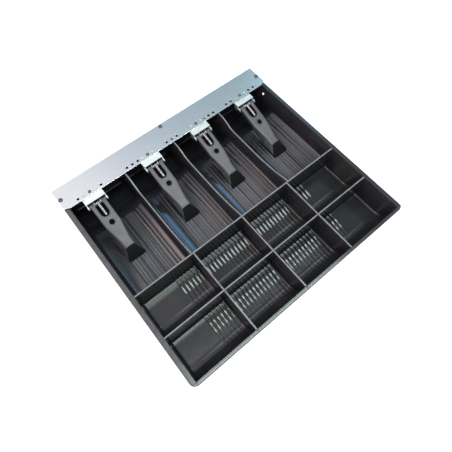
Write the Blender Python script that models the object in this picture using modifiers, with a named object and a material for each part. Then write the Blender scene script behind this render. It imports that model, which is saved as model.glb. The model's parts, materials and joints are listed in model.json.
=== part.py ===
"""Till tray of a cash drawer: a moulded tray with four note bays and eight coin cups,
a steel bar across its rear, and four sprung note clips that hinge under the bar.

Metres, +Z up. The origin is the bottom centre of the tray, +X runs along the bar and +Y to the rear.
"""

import math

import bmesh
import bpy
from mathutils import Matrix, Vector

# Fit between neighbours
GAP = 0.0003
BORE_GAP = 0.00035
OVERLAP = 0.001

# Tray
TRAY_WIDTH = 0.365
TRAY_DEPTH = 0.325
TRAY_HEIGHT = 0.061
WALL = 0.0022
SIDE_RIM = 0.007
FRONT_RIM = 0.0045
REAR_RIM = 0.008
RIM_DROP = 0.010
RIM_LIP = 0.002
RIM_CORNER = 0.008
DIVIDER = 0.002
INNER_X = TRAY_WIDTH / 2 - SIDE_RIM
FRONT_Y = -TRAY_DEPTH / 2 + FRONT_RIM
REAR_Y = TRAY_DEPTH / 2 - REAR_RIM

# Note bays and coin cups
NOTE_WALL_Y = -0.0323
CUP_WALL_Y = -0.0960
NOTE_DIVIDERS_X = (-0.086, 0.0, 0.086)
CUP_DIVIDERS_X = (-0.0832, 0.0, 0.0832)
NOTE_FLOOR_Z = TRAY_HEIGHT - 0.0395
POCKET_FLOOR_Z = WALL
POCKET_SLOPE_Y = (0.088, 0.124)
CUP_FLOOR_Z = TRAY_HEIGHT - 0.044
CUP_FLAT = 0.034
SCOOP_END = math.radians(80)
DIVIDER_DIP = 0.0095
SIDE_SLOT = Vector((INNER_X + WALL / 2, 0.1195, TRAY_HEIGHT - 0.0165))
SIDE_SLOT_SIZE = (0.0026, 0.0065)

# Clip bar and its screws
BAR_FRONT_Y = 0.1235
BAR_THICKNESS = 0.0015
BAR_Z = TRAY_HEIGHT + GAP
BAR_TOP = BAR_Z + BAR_THICKNESS
BAR_CORNER = (0.009, 0.004)
HOLE_Y = 0.129
HOLE_PITCH = 0.0092
HOLE_RADIUS = 0.0017
HOLE_GROUPS_X = (-0.1499, -0.1315, -0.0699, -0.0434, 0.0, 0.0452, 0.0697, 0.1324, 0.1506)
HOLE_PAIR_X = (0.1046, 0.1138)
SCREW_PLACES = {"left": (-0.1785, 0.1425), "right": (0.1785, 0.1425), "rear": (0.0, 0.1585)}
SCREW_SHANK = 0.0015
SCREW_HEAD = 0.0031
SCREW_HEAD_HEIGHT = 0.0019
SCREW_DEPTH = 0.0085
SCREW_BOSS = 0.012

# Note clips
CLIPS_X = (-0.1407, -0.0434, 0.0452, 0.1324)
PIVOT_Y = 0.112
PIVOT_Z = TRAY_HEIGHT - 0.007
BRACKET_WIDTH = 0.031
BRACKET_SHEET = 0.0012
BRACKET_Y = (0.1142, 0.137)
EAR_REAR_Y = 0.121
EAR_NOSE = 0.0034
PIP_RADIUS = 0.0013
RIVET_SHANK = 0.0013
RIVET_HEAD = 0.0024
RIVET_HEAD_HEIGHT = 0.0011
PIN_RADIUS = 0.0015
PIN_HEAD = 0.0025
PIN_HEAD_LENGTH = 0.0009

ARM_SLOPE = math.radians(17.1)
ARM_SHEET = 0.0017
ARM_HALF_WIDTH = 0.01235
NECK_HALF_WIDTH = 0.0068
ARM_SHOULDER = 0.040
NECK_START = 0.062
NECK_END = 0.075
HEM_HALF_WIDTH = 0.0125
HEM_START = Vector((0.0, -0.0009, -0.0031))
HEM_END = Vector((0.0, -0.0845, -0.0311))
BARREL_RADIUS = 0.0031
SLOT_WIDTH = 0.0125
SLOT_LENGTH = 0.023
ARM_HOLE_AT = 0.032
ARM_HOLE_RADIUS = 0.0035

FOOT_THICKNESS = 0.0025
FOOT_HALF_WIDTH = 0.0135
FOOT_SOLE_LENGTH = 0.0034
FOOT_LIFT = 0.0009
TONGUE_HALF_WIDTH = 0.0042
TONGUE_THICKNESS = 0.003
TONGUE_START = 0.063

SPRING_WIRE = 0.00065
COIL_RADIUS = 0.0029
COIL_X = (0.0014, 0.0052)
COIL_TURNS = 2
COIL_STEPS = 8
SPRING_TAIL = Vector((0.0, 0.010, 0.0042))
SPRING_REACH = 0.026

ROUND_STEPS = 12
ALONG_ARM = Vector((0.0, -math.cos(ARM_SLOPE), -math.sin(ARM_SLOPE)))
ABOVE_ARM = Vector((0.0, -math.sin(ARM_SLOPE), math.cos(ARM_SLOPE)))

# Turns a drawing's own X, Y and thickness into the world axes of each plane.
PLANES = {
    "XY": Matrix.Identity(3),
    "YZ": Matrix(((0, 0, 1), (1, 0, 0), (0, 1, 0))),
}


def clear_scene():
    for old in list(bpy.data.objects):
        bpy.data.objects.remove(old, do_unlink=True)


def new_collection(name):
    made = bpy.data.collections.new(name)
    bpy.context.scene.collection.children.link(made)
    return made


def finish(name, colour, roughness, metallic):
    made = bpy.data.materials.new(name)
    made.use_nodes = True
    shader = made.node_tree.nodes["Principled BSDF"]
    shader.inputs["Base Color"].default_value = (*colour, 1)
    shader.inputs["Roughness"].default_value = roughness
    shader.inputs["Metallic"].default_value = metallic
    return made


def mesh_object(name, mesh, collection, place=(0, 0, 0), parent=None):
    made = bpy.data.objects.new(name, mesh)
    made.location = place
    made.parent = parent
    collection.objects.link(made)
    return made


def baked(source, collection, weld=False):
    """The object's evaluated shape as a plain mesh object with the same name and place."""
    bpy.context.view_layer.update()
    evaluated = source.evaluated_get(bpy.context.evaluated_depsgraph_get())
    mesh = bpy.data.meshes.new_from_object(evaluated)
    if weld:
        shape = bmesh.new()
        shape.from_mesh(mesh)
        bmesh.ops.remove_doubles(shape, verts=shape.verts, dist=0.00001)
        shape.to_mesh(mesh)
        shape.free()
    name = source.name
    matrix = source.matrix_world.copy()
    bpy.data.objects.remove(source, do_unlink=True)
    made = mesh_object(name, mesh, collection)
    made.matrix_world = matrix
    return made


def outline(name, loops, span, plane, filled=True):
    """A flat outline, or an open line, drawn in a plane and extruded over span along the third axis."""
    curve = bpy.data.curves.new(name, "CURVE")
    curve.dimensions = "2D"
    curve.fill_mode = "BOTH" if filled else "NONE"
    curve.extrude = (span[1] - span[0]) / 2
    for loop in loops:
        spline = curve.splines.new("POLY")
        spline.points.add(len(loop) - 1)
        spline.use_cyclic_u = filled
        for point, (u, v) in zip(spline.points, loop):
            point.co = (u, v, 0, 1)
    drawn = bpy.data.objects.new(name, curve)
    drawn.matrix_world = PLANES[plane].to_4x4()
    drawn.location = PLANES[plane] @ Vector((0, 0, (span[0] + span[1]) / 2))
    PIECES.objects.link(drawn)
    return baked(drawn, PIECES, weld=True)


def box(name, low, high):
    """A box between two corners."""
    shape = bmesh.new()
    bmesh.ops.create_cube(shape, size=1)
    size = Vector(high) - Vector(low)
    centre = (Vector(high) + Vector(low)) / 2
    bmesh.ops.transform(shape, matrix=Matrix.LocRotScale(centre, None, size), verts=shape.verts)
    mesh = bpy.data.meshes.new(name)
    shape.to_mesh(mesh)
    shape.free()
    return mesh_object(name, mesh, PIECES)


def rod(name, start, end, radius, steps=ROUND_STEPS):
    """A cylinder between two points."""
    start, end = Vector(start), Vector(end)
    turn = (end - start).to_track_quat("Z", "Y")
    place = Matrix.LocRotScale((start + end) / 2, turn, None)
    shape = bmesh.new()
    bmesh.ops.create_cone(
        shape,
        cap_ends=True,
        segments=steps,
        radius1=radius,
        radius2=radius,
        depth=(end - start).length,
        matrix=place,
    )
    mesh = bpy.data.meshes.new(name)
    shape.to_mesh(mesh)
    shape.free()
    return mesh_object(name, mesh, PIECES)


def turned(name, profile, axis, steps=ROUND_STEPS):
    """A profile of (radius, height) points, from the top of its axis down, turned round X or Z."""
    mesh = bpy.data.meshes.new(name)
    points = [(r, 0, h) for r, h in profile]
    mesh.from_pydata(points, [(i, i + 1) for i in range(len(points) - 1)], [])
    made = mesh_object(name, mesh, PIECES)
    screw = made.modifiers.new("turn", "SCREW")
    screw.steps = screw.render_steps = steps
    screw.use_merge_vertices = True
    screw.merge_threshold = 0.00001
    if axis == "X":
        made.rotation_euler = (0, math.pi / 2, 0)
    return baked(made, PIECES)


def loft(name, sections, closed):
    """Faces between sections of equally many points, with end caps where it is closed."""
    shape = bmesh.new()
    rings = [[shape.verts.new(point) for point in section] for section in sections]
    for near, far in zip(rings, rings[1:]):
        count = len(near) if closed else len(near) - 1
        for i in range(count):
            j = (i + 1) % len(near)
            shape.faces.new((near[i], near[j], far[j], far[i]))
    if closed:
        shape.faces.new(reversed(rings[0]))
        shape.faces.new(rings[-1])
        bmesh.ops.recalc_face_normals(shape, faces=shape.faces)
    mesh = bpy.data.meshes.new(name)
    shape.to_mesh(mesh)
    shape.free()
    return mesh_object(name, mesh, PIECES)


def combine(target, operation, *tools):
    """Joins other solids to the target, or cuts them from it."""
    for tool in tools:
        modifier = target.modifiers.new(tool.name, "BOOLEAN")
        modifier.operation = operation
        modifier.object = tool
        tool.hide_render = True
        tool.display_type = "WIRE"
    return target


def thicken(sheet, thickness, side):
    """Gives an open surface its thickness, on the side its normals point to or away from."""
    modifier = sheet.modifiers.new("sheet", "SOLIDIFY")
    modifier.thickness = thickness
    modifier.offset = side
    modifier.use_even_offset = True
    return sheet


def keep(made, material):
    """Moves a finished shape into the tray's own collection, with its drawing's origin as its own."""
    made = baked(made, PART)
    made.data.transform(made.matrix_world)
    made.matrix_world = Matrix.Identity(4)
    made.data.materials.clear()
    made.data.materials.append(material)
    made.data.shade_smooth()
    made.data.set_sharp_from_angle(angle=math.radians(35))
    return made


def copies(first, names, places, parents=None):
    """The first part and further objects that share its mesh, one at each place."""
    parents = parents or [None] * len(names)
    first.name, first.location, first.parent = names[0], places[0], parents[0]
    for name, place, parent in zip(names[1:], places[1:], parents[1:]):
        mesh_object(name, first.data, PART, place, parent)


def arc(centre, radius, start, end, steps):
    """Points on an arc, with the angles in degrees."""
    turn = [math.radians(start + (end - start) * i / steps) for i in range(steps + 1)]
    return [(centre[0] + radius * math.cos(a), centre[1] + radius * math.sin(a)) for a in turn]


def rounded_rectangle(low, high, radius, steps=4):
    corners = (
        ((high[0] - radius, high[1] - radius), 0),
        ((low[0] + radius, high[1] - radius), 90),
        ((low[0] + radius, low[1] + radius), 180),
        ((high[0] - radius, low[1] + radius), 270),
    )
    return [p for centre, a in corners for p in arc(centre, radius, a, a + 90, steps)]


def circle(centre, radius, steps=10):
    return arc(centre, radius, 0, 360, steps)[:-1]


def dome(radius, height, base, steps=4):
    """The outer half of a domed head, from its crown down to its rim."""
    turn = [math.pi / 2 * i / steps for i in range(steps + 1)]
    return [(radius * math.sin(a), base + height * math.cos(a)) for a in turn]


# ---- the tray -------------------------------------------------------------------------------


def note_floor_z(y):
    """Height of the note bays' floor, which dips into a pocket below the bar."""
    low, high = POCKET_SLOPE_Y
    share = min(max((y - low) / (high - low), 0), 1)
    return POCKET_FLOOR_Z + (NOTE_FLOOR_Z - POCKET_FLOOR_Z) * (1 + math.cos(math.pi * share)) / 2


def note_floor_line(steps=9):
    low, high = POCKET_SLOPE_Y
    slope = [low + (high - low) * i / steps for i in range(steps + 1)]
    return [(y, note_floor_z(y)) for y in (NOTE_WALL_Y, *slope, REAR_Y + OVERLAP)]


def cup_floor_line(rear_y, front_y, steps=8):
    """A flat floor from the rear wall, then a scoop up to the wall in front."""
    start = rear_y - CUP_FLAT
    radius = (start - front_y) / math.sin(SCOOP_END)
    turn = [SCOOP_END * i / steps for i in range(steps + 1)]
    scoop = [(start - radius * math.sin(a), CUP_FLOOR_Z + radius * (1 - math.cos(a))) for a in turn]
    return [(rear_y + OVERLAP, CUP_FLOOR_Z), *scoop]


def floor_strip(name, line):
    span = (-INNER_X - OVERLAP, INNER_X + OVERLAP)
    return thicken(outline(name, [line], span, "YZ", filled=False), WALL, -1)


def tray_shell():
    """Skirt and rim as one block with the whole inside cut out, and the rim hollow from below."""
    skirt = outline(
        "till_tray",
        [rounded_rectangle((-INNER_X - WALL, FRONT_Y - WALL), (INNER_X + WALL, REAR_Y + WALL), 0.004)],
        (0, TRAY_HEIGHT - RIM_DROP / 2),
        "XY",
    )
    half = Vector((TRAY_WIDTH / 2, TRAY_DEPTH / 2))
    rim = outline(
        "rim",
        [rounded_rectangle(-half, half, RIM_CORNER)],
        (TRAY_HEIGHT - RIM_DROP, TRAY_HEIGHT),
        "XY",
    )
    inside = box("inside", (-INNER_X, FRONT_Y, -WALL), (INNER_X, REAR_Y, TRAY_HEIGHT + WALL))
    combine(skirt, "UNION", rim)
    combine(skirt, "DIFFERENCE", inside, *rim_grooves())
    return skirt


def rim_grooves():
    """The hollows below the rim, between the skirt and the rim's turned-down lip."""
    low = TRAY_HEIGHT - RIM_DROP - OVERLAP
    high = TRAY_HEIGHT - WALL
    skirt_x, lip_x = INNER_X + WALL, TRAY_WIDTH / 2 - RIM_LIP
    skirt_y, lip_y = REAR_Y + WALL, TRAY_DEPTH / 2 - RIM_LIP
    front, rear = FRONT_Y + RIM_CORNER, SCREW_PLACES["left"][1] - SCREW_BOSS / 2
    inner, outer = SCREW_BOSS / 2, INNER_X - RIM_CORNER
    return (
        box("groove_left", (-lip_x, front, low), (-skirt_x, rear, high)),
        box("groove_right", (skirt_x, front, low), (lip_x, rear, high)),
        box("groove_rear_left", (-outer, skirt_y, low), (-inner, lip_y, high)),
        box("groove_rear_right", (inner, skirt_y, low), (outer, lip_y, high)),
    )


def cross_wall(name, y):
    low = (-INNER_X - OVERLAP, y - DIVIDER / 2, RIM_LIP)
    high = (INNER_X + OVERLAP, y + DIVIDER / 2, TRAY_HEIGHT - GAP)
    return box(name, low, high)


def cup_divider(name, x):
    low = (x - DIVIDER / 2, FRONT_Y - OVERLAP, RIM_LIP)
    high = (x + DIVIDER / 2, NOTE_WALL_Y, TRAY_HEIGHT - GAP / 2)
    return box(name, low, high)


def note_divider(name, x):
    """A divider whose top dips between the bar and the cross wall, so that notes are easy to lift."""
    top, dip = TRAY_HEIGHT - GAP / 2, TRAY_HEIGHT - DIVIDER_DIP
    line = [
        (NOTE_WALL_Y, RIM_LIP),
        (REAR_Y + OVERLAP, RIM_LIP),
        (REAR_Y + OVERLAP, top),
        (0.117, top),
        (0.108, top - 0.0022),
        (0.097, dip + 0.0018),
        (0.088, dip),
        (0.030, dip),
        (0.005, dip + 0.0025),
        (-0.018, top - 0.0028),
        (NOTE_WALL_Y, top),
    ]
    return outline(name, [line], (x - DIVIDER / 2, x + DIVIDER / 2), "YZ")


def side_slots():
    """A short slanted slot through each side wall, just in front of the bar."""
    width, length = SIDE_SLOT_SIZE
    slots = []
    for name, side in (("slot_left", -1), ("slot_right", 1)):
        slot = box(name, (-0.003, -width / 2, -length / 2), (0.003, width / 2, length / 2))
        slot.rotation_euler = (math.radians(30), 0, 0)
        slot.location = (side * SIDE_SLOT.x, SIDE_SLOT.y, SIDE_SLOT.z)
        slots.append(slot)
    return slots


def make_tray():
    tray = tray_shell()
    floors = (
        floor_strip("note_floor", note_floor_line()),
        floor_strip("cup_floor_rear", cup_floor_line(NOTE_WALL_Y - DIVIDER / 2, CUP_WALL_Y)),
        floor_strip("cup_floor_front", cup_floor_line(CUP_WALL_Y - DIVIDER / 2, FRONT_Y - WALL / 2)),
    )
    walls = (cross_wall("note_wall", NOTE_WALL_Y), cross_wall("cup_wall", CUP_WALL_Y))
    dividers = [cup_divider(f"cup_divider_{i}", x) for i, x in enumerate(CUP_DIVIDERS_X, 1)]
    dividers += [note_divider(f"note_divider_{i}", x) for i, x in enumerate(NOTE_DIVIDERS_X, 1)]
    combine(tray, "UNION", *floors, *walls, *dividers)
    bottom = TRAY_HEIGHT - SCREW_DEPTH - OVERLAP
    screw_holes = [
        rod(f"screw_hole_{side}", (x, y, bottom), (x, y, TRAY_HEIGHT + WALL), SCREW_SHANK + BORE_GAP)
        for side, (x, y) in SCREW_PLACES.items()
    ]
    combine(tray, "DIFFERENCE", *screw_holes, *side_slots())
    keep(tray, finish("black_abs", (0.02, 0.02, 0.024), 0.35, 0))


# ---- the clip bar and its screws --------------------------------------------------------------


def bar_holes_x():
    """Each clip position is a row of three holes, some of them shared by two clip layouts."""
    places = {x + step * HOLE_PITCH for x in HOLE_GROUPS_X for step in (-1, 0, 1)} | set(HOLE_PAIR_X)
    apart = []
    for x in sorted(places):
        if not apart or x - apart[-1] > 2.4 * HOLE_RADIUS:
            apart.append(x)
    return apart


def make_bar():
    half, rear = TRAY_WIDTH / 2, TRAY_DEPTH / 2
    cut_x, cut_y = BAR_CORNER
    edge = [
        (-half, rear),
        (-half, BAR_FRONT_Y + cut_y),
        (-half + cut_x, BAR_FRONT_Y),
        (half - cut_x, BAR_FRONT_Y),
        (half, BAR_FRONT_Y + cut_y),
        (half, rear),
    ]
    holes = [circle((x, HOLE_Y), HOLE_RADIUS) for x in bar_holes_x()]
    holes += [circle(place, SCREW_SHANK + BORE_GAP) for place in SCREW_PLACES.values()]
    bar = outline("clip_bar", [edge, *holes], (BAR_Z, BAR_TOP), "XY")
    keep(bar, finish("zinc_plate", (0.72, 0.76, 0.78), 0.3, 1))


def make_screws():
    base = BAR_TOP + GAP
    profile = dome(SCREW_HEAD, SCREW_HEAD_HEIGHT, base)
    profile += [(SCREW_SHANK, base), (SCREW_SHANK, base - BAR_THICKNESS - SCREW_DEPTH)]
    profile += [(0, base - BAR_THICKNESS - SCREW_DEPTH)]
    screw = turned("bar_screw", profile, "Z")
    screw = keep(screw, finish("screw_steel", (0.55, 0.56, 0.58), 0.25, 1))
    names = [f"bar_screw_{side}" for side in SCREW_PLACES]
    copies(screw, names, [(x, y, 0) for x, y in SCREW_PLACES.values()])


# ---- the note clips ---------------------------------------------------------------------------


def on_arm(along, above=0.0, x=0.0):
    """A point by its distance down the arm and its height over the line through the pivot."""
    return ALONG_ARM * along + ABOVE_ARM * above + Vector((x, 0, 0))


def make_brackets():
    """A plate below the bar with an ear turned down at each end, its nose round the pivot pin."""
    half = BRACKET_WIDTH / 2
    top = TRAY_HEIGHT
    under = top - BRACKET_SHEET
    nose = arc((PIVOT_Y, PIVOT_Z), EAR_NOSE, 90, 270, 8)
    side = [(BRACKET_Y[1], top), (BRACKET_Y[0], top), (BRACKET_Y[0], PIVOT_Z + EAR_NOSE), *nose]
    side += [(EAR_REAR_Y, PIVOT_Z - EAR_NOSE), (EAR_REAR_Y + 0.003, under), (BRACKET_Y[1], under)]
    bracket = outline("clip_bracket", [side], (-half, half), "YZ")
    inner = half - BRACKET_SHEET
    room = box("room", (-inner, 0.09, PIVOT_Z - 0.01), (inner, 0.16, under))
    pin_hole = rod("pin_hole", (-0.02, PIVOT_Y, PIVOT_Z), (0.02, PIVOT_Y, PIVOT_Z), PIN_RADIUS + BORE_GAP)
    rivet_hole = rod("rivet_hole", (0, HOLE_Y, under - WALL), (0, HOLE_Y, top + WALL), HOLE_RADIUS)
    pips = [
        rod(f"pip_{side}", (x, HOLE_Y, under + GAP), (x, HOLE_Y, BAR_TOP - GAP), PIP_RADIUS, 10)
        for side, x in (("left", -HOLE_PITCH), ("right", HOLE_PITCH))
    ]
    combine(bracket, "UNION", *pips)
    combine(bracket, "DIFFERENCE", room, pin_hole, rivet_hole)
    bracket = keep(bracket, finish("bracket_zinc", (0.85, 0.86, 0.84), 0.35, 1))
    copies(bracket, numbered("clip_bracket"), [(x, 0, 0) for x in CLIPS_X])


def make_rivets():
    head = BAR_TOP + GAP
    tail = TRAY_HEIGHT - BRACKET_SHEET - GAP
    profile = dome(RIVET_HEAD, RIVET_HEAD_HEIGHT, head)
    profile += [(RIVET_SHANK, head), (RIVET_SHANK, tail), (0.0021, tail), (0.0018, tail - 0.0008)]
    profile += [(0, tail - 0.0008)]
    rivet = keep(turned("rivet", profile, "Z", 10), finish("rivet_steel", (0.6, 0.6, 0.62), 0.3, 1))
    copies(rivet, numbered("bracket_rivet"), [(x, HOLE_Y, 0) for x in CLIPS_X])


def make_pins():
    """A steel pin through both ears, with its ends spread to heads."""
    ear = BRACKET_WIDTH / 2 + GAP
    end = ear + PIN_HEAD_LENGTH
    edge = PIN_HEAD - GAP
    outer = [(0, end), (edge, end), (PIN_HEAD, end - GAP), (PIN_HEAD, ear), (PIN_RADIUS, ear)]
    profile = outer + [(r, -x) for r, x in reversed(outer)]
    pin = keep(turned("pin", profile, "X"), finish("pin_steel", (0.7, 0.7, 0.72), 0.25, 1))
    copies(pin, numbered("pivot_pin"), [(x, PIVOT_Y, PIVOT_Z) for x in CLIPS_X])


def numbered(name):
    return [f"{name}_{i}" for i in range(1, len(CLIPS_X) + 1)]


def hem(along):
    """The arm's lower edge below a point of its top plate."""
    top = on_arm(along, BARREL_RADIUS)
    slope = (HEM_END - HEM_START) / (HEM_END - HEM_START).y
    drop = (top - HEM_START) - slope * (top - HEM_START).y
    depth = drop.z / (ABOVE_ARM.z - slope.z * ABOVE_ARM.y)
    return top - ABOVE_ARM * depth


def arm_section(along, half_width, low=None):
    """Hem, shoulder, shoulder, hem across the arm."""
    top = on_arm(along, BARREL_RADIUS)
    low = low or hem(along)
    left, right = Vector((-1, 0, 0)), Vector((1, 0, 0))
    return [
        low + left * HEM_HALF_WIDTH,
        top + left * half_width,
        top + right * half_width,
        low + right * HEM_HALF_WIDTH,
    ]


def make_arms(pivots):
    """A hood whose top plate narrows to a neck while its side walls stay wide at their hem."""
    sections = [
        arm_section(0, ARM_HALF_WIDTH, HEM_START),
        arm_section(ARM_SHOULDER, ARM_HALF_WIDTH),
        arm_section(NECK_START, NECK_HALF_WIDTH),
        arm_section(NECK_END, NECK_HALF_WIDTH, HEM_END),
    ]
    arm = thicken(loft("clip_arm", sections, closed=False), ARM_SHEET, 1)
    reach = BRACKET_WIDTH / 2 - BRACKET_SHEET - GAP
    barrel = rod("barrel", (-reach, 0, 0), (reach, 0, 0), BARREL_RADIUS)
    bore = rod("bore", (-0.02, 0, 0), (0.02, 0, 0), PIN_RADIUS + BORE_GAP)
    combine(arm, "UNION", barrel)
    combine(arm, "DIFFERENCE", bore, slot_cutter(), arm_hole_cutter())
    arm = keep(arm, finish("arm_plastic", (0.2, 0.2, 0.21), 0.45, 0))
    copies(arm, numbered("clip_arm"), [(0, 0, 0)] * len(pivots), pivots)


def slot_cutter():
    """The U slot, open at the pivot and round at its far end."""
    half = SLOT_WIDTH / 2
    end = arc((0, SLOT_LENGTH - half), half, 0, 180, 8)
    line = [(half, -2 * BARREL_RADIUS), *end, (-half, -2 * BARREL_RADIUS)]
    cutter = outline("slot", [line], (-0.012, 0.012), "XY")
    cutter.rotation_euler = (math.pi + ARM_SLOPE, 0, 0)
    cutter.location = (0, 0, 0)
    return cutter


def arm_hole_cutter():
    return rod("arm_hole", on_arm(ARM_HOLE_AT, 0.01), on_arm(ARM_HOLE_AT, -0.001), ARM_HOLE_RADIUS, 16)


def make_feet(pivots):
    """A flared rubber foot over the front of the arm, with a tongue gripped below its neck."""
    corner = on_arm(NECK_END, BARREL_RADIUS)
    face = (HEM_END - corner).normalized()
    proud = Vector((0, face.z, -face.y))
    back_top = corner + proud * GAP
    front_top = back_top + proud * FOOT_THICKNESS
    sole = NOTE_FLOOR_Z + FOOT_LIFT - PIVOT_Z
    back_low = back_top + face * ((sole - back_top.z) / face.z)
    front_low = back_low + Vector((0, -FOOT_SOLE_LENGTH, 0))
    across = (Vector((NECK_HALF_WIDTH, 0, 0)), Vector((FOOT_HALF_WIDTH, 0, 0)))
    sections = [
        [back - wide, back + wide, front + wide, front - wide]
        for back, front, wide in ((back_top, front_top, across[0]), (back_low, front_low, across[1]))
    ]
    foot = loft("rubber_foot", sections, closed=True)
    under = BARREL_RADIUS - ARM_SHEET - GAP
    steepness = math.tan(face.angle(ALONG_ARM))
    heights = (under, under - TONGUE_THICKNESS)
    ends = [NECK_END + (BARREL_RADIUS - h) / steepness + FOOT_THICKNESS for h in heights]
    profile = [
        on_arm(TONGUE_START, heights[0]),
        on_arm(ends[0], heights[0]),
        on_arm(ends[1], heights[1]),
        on_arm(TONGUE_START, heights[1]),
    ]
    span = (-TONGUE_HALF_WIDTH, TONGUE_HALF_WIDTH)
    tongue = outline("tongue", [[(p.y, p.z) for p in profile]], span, "YZ")
    combine(foot, "UNION", tongue)
    foot = keep(foot, finish("foot_rubber", (0.012, 0.012, 0.013), 0.8, 0))
    copies(foot, numbered("rubber_foot"), [(0, 0, 0)] * len(pivots), pivots)


def coil_point(turn, x):
    """A point on the coil, with the angle measured up from the forward direction."""
    return Vector((x, -COIL_RADIUS * math.cos(turn), COIL_RADIUS * math.sin(turn)))


def spring_half():
    """Tail under the bar, coil round the pin, and leg down the arm's slot, for +X."""
    start = math.radians(82)
    end = math.pi / 2 - ARM_SLOPE - COIL_TURNS * 2 * math.pi
    count = COIL_TURNS * COIL_STEPS
    path = [SPRING_TAIL + Vector((COIL_X[1], 0, 0))]
    for i in range(count + 1):
        share = i / count
        x = COIL_X[1] + (COIL_X[0] - COIL_X[1]) * share
        path.append(coil_point(start + (end - start) * share, x))
    height = BARREL_RADIUS + SPRING_WIRE + GAP
    path.append(on_arm(SPRING_REACH - COIL_X[0], height, COIL_X[0]))
    path.append(on_arm(SPRING_REACH - COIL_X[0] * 0.4, height, COIL_X[0] * 0.7))
    return path


def make_springs(pivots):
    """A double torsion spring: two coils on the pin, and one narrow loop between them."""
    half = spring_half()
    mirrored = [Vector((-p.x, p.y, p.z)) for p in reversed(half)]
    path = half + [on_arm(SPRING_REACH, BARREL_RADIUS + SPRING_WIRE + GAP)] + mirrored
    curve = bpy.data.curves.new("torsion_spring", "CURVE")
    curve.dimensions = "3D"
    curve.bevel_depth = SPRING_WIRE
    curve.bevel_resolution = 2
    curve.use_fill_caps = True
    spline = curve.splines.new("POLY")
    spline.points.add(len(path) - 1)
    for point, place in zip(spline.points, path):
        point.co = (*place, 1)
    drawn = bpy.data.objects.new("torsion_spring", curve)
    PIECES.objects.link(drawn)
    spring = keep(baked(drawn, PIECES, weld=True), finish("spring_steel", (0.75, 0.75, 0.77), 0.2, 1))
    copies(spring, numbered("torsion_spring"), [(0, 0, 0)] * len(pivots), pivots)


def make_pivots():
    """An empty on each clip's hinge axis, which carries what swings."""
    pivots = []
    for name, x in zip(numbered("clip_pivot"), CLIPS_X):
        pivot = bpy.data.objects.new(name, None)
        pivot.location = (x, PIVOT_Y, PIVOT_Z)
        PART.objects.link(pivot)
        pivots.append(pivot)
    return pivots


clear_scene()
PART = new_collection("till_tray_assembly")
PIECES = new_collection("cutters_and_joined_pieces")
make_tray()
make_bar()
make_screws()
make_brackets()
make_rivets()
make_pins()
swinging = make_pivots()
make_arms(swinging)
make_feet(swinging)
make_springs(swinging)
for helper in PIECES.objects:
    helper.hide_render = True
    helper.display_type = "WIRE"
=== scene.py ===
"""Looks of the till tray: a detailed moulded tray, clip bar, note clips, materials, light and camera.

Metres, +Z up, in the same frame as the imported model. +X runs along the clip bar, +Y to the rear.
"""

import json
import math

import bmesh
import bpy
import numpy as np
from mathutils import Matrix, Vector

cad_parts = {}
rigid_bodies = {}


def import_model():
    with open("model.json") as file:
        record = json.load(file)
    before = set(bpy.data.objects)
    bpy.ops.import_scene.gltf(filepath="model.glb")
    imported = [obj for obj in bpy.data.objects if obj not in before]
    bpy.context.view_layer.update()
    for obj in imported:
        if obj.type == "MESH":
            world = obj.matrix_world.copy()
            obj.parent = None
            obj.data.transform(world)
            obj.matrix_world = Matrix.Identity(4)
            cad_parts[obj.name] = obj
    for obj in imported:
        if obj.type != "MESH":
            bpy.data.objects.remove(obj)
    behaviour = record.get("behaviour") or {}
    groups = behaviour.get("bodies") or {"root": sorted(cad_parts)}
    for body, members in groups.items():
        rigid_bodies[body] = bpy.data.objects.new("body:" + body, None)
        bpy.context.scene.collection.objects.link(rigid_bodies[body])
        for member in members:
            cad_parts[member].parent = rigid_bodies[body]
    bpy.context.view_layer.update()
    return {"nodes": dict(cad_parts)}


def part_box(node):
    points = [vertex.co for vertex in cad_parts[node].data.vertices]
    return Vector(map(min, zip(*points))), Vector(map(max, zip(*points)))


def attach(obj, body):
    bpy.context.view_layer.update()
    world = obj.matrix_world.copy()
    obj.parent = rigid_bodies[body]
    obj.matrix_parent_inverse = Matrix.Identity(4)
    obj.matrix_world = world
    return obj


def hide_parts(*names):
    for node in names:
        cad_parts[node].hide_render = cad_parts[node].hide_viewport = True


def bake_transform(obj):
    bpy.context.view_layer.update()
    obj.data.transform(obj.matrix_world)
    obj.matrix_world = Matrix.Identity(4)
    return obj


for old in list(bpy.data.objects):
    bpy.data.objects.remove(old, do_unlink=True)

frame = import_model()
nodes = frame["nodes"]

MM = 0.001

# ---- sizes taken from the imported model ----

TRAY_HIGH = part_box("till_tray")[1]
BAR_LOW, BAR_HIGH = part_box("clip_bar")
CLIPS = (1, 2, 3, 4)
PIVOTS = {i: sum(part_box(f"pivot_pin_{i}"), Vector()) / 2 for i in CLIPS}
SCREWS = {s: sum(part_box(f"bar_screw_{s}"), Vector()) / 2 for s in ("left", "right", "rear")}
RIVETS = {i: sum(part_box(f"bracket_rivet_{i}"), Vector()) / 2 for i in CLIPS}
TOP = TRAY_HIGH.z

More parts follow.
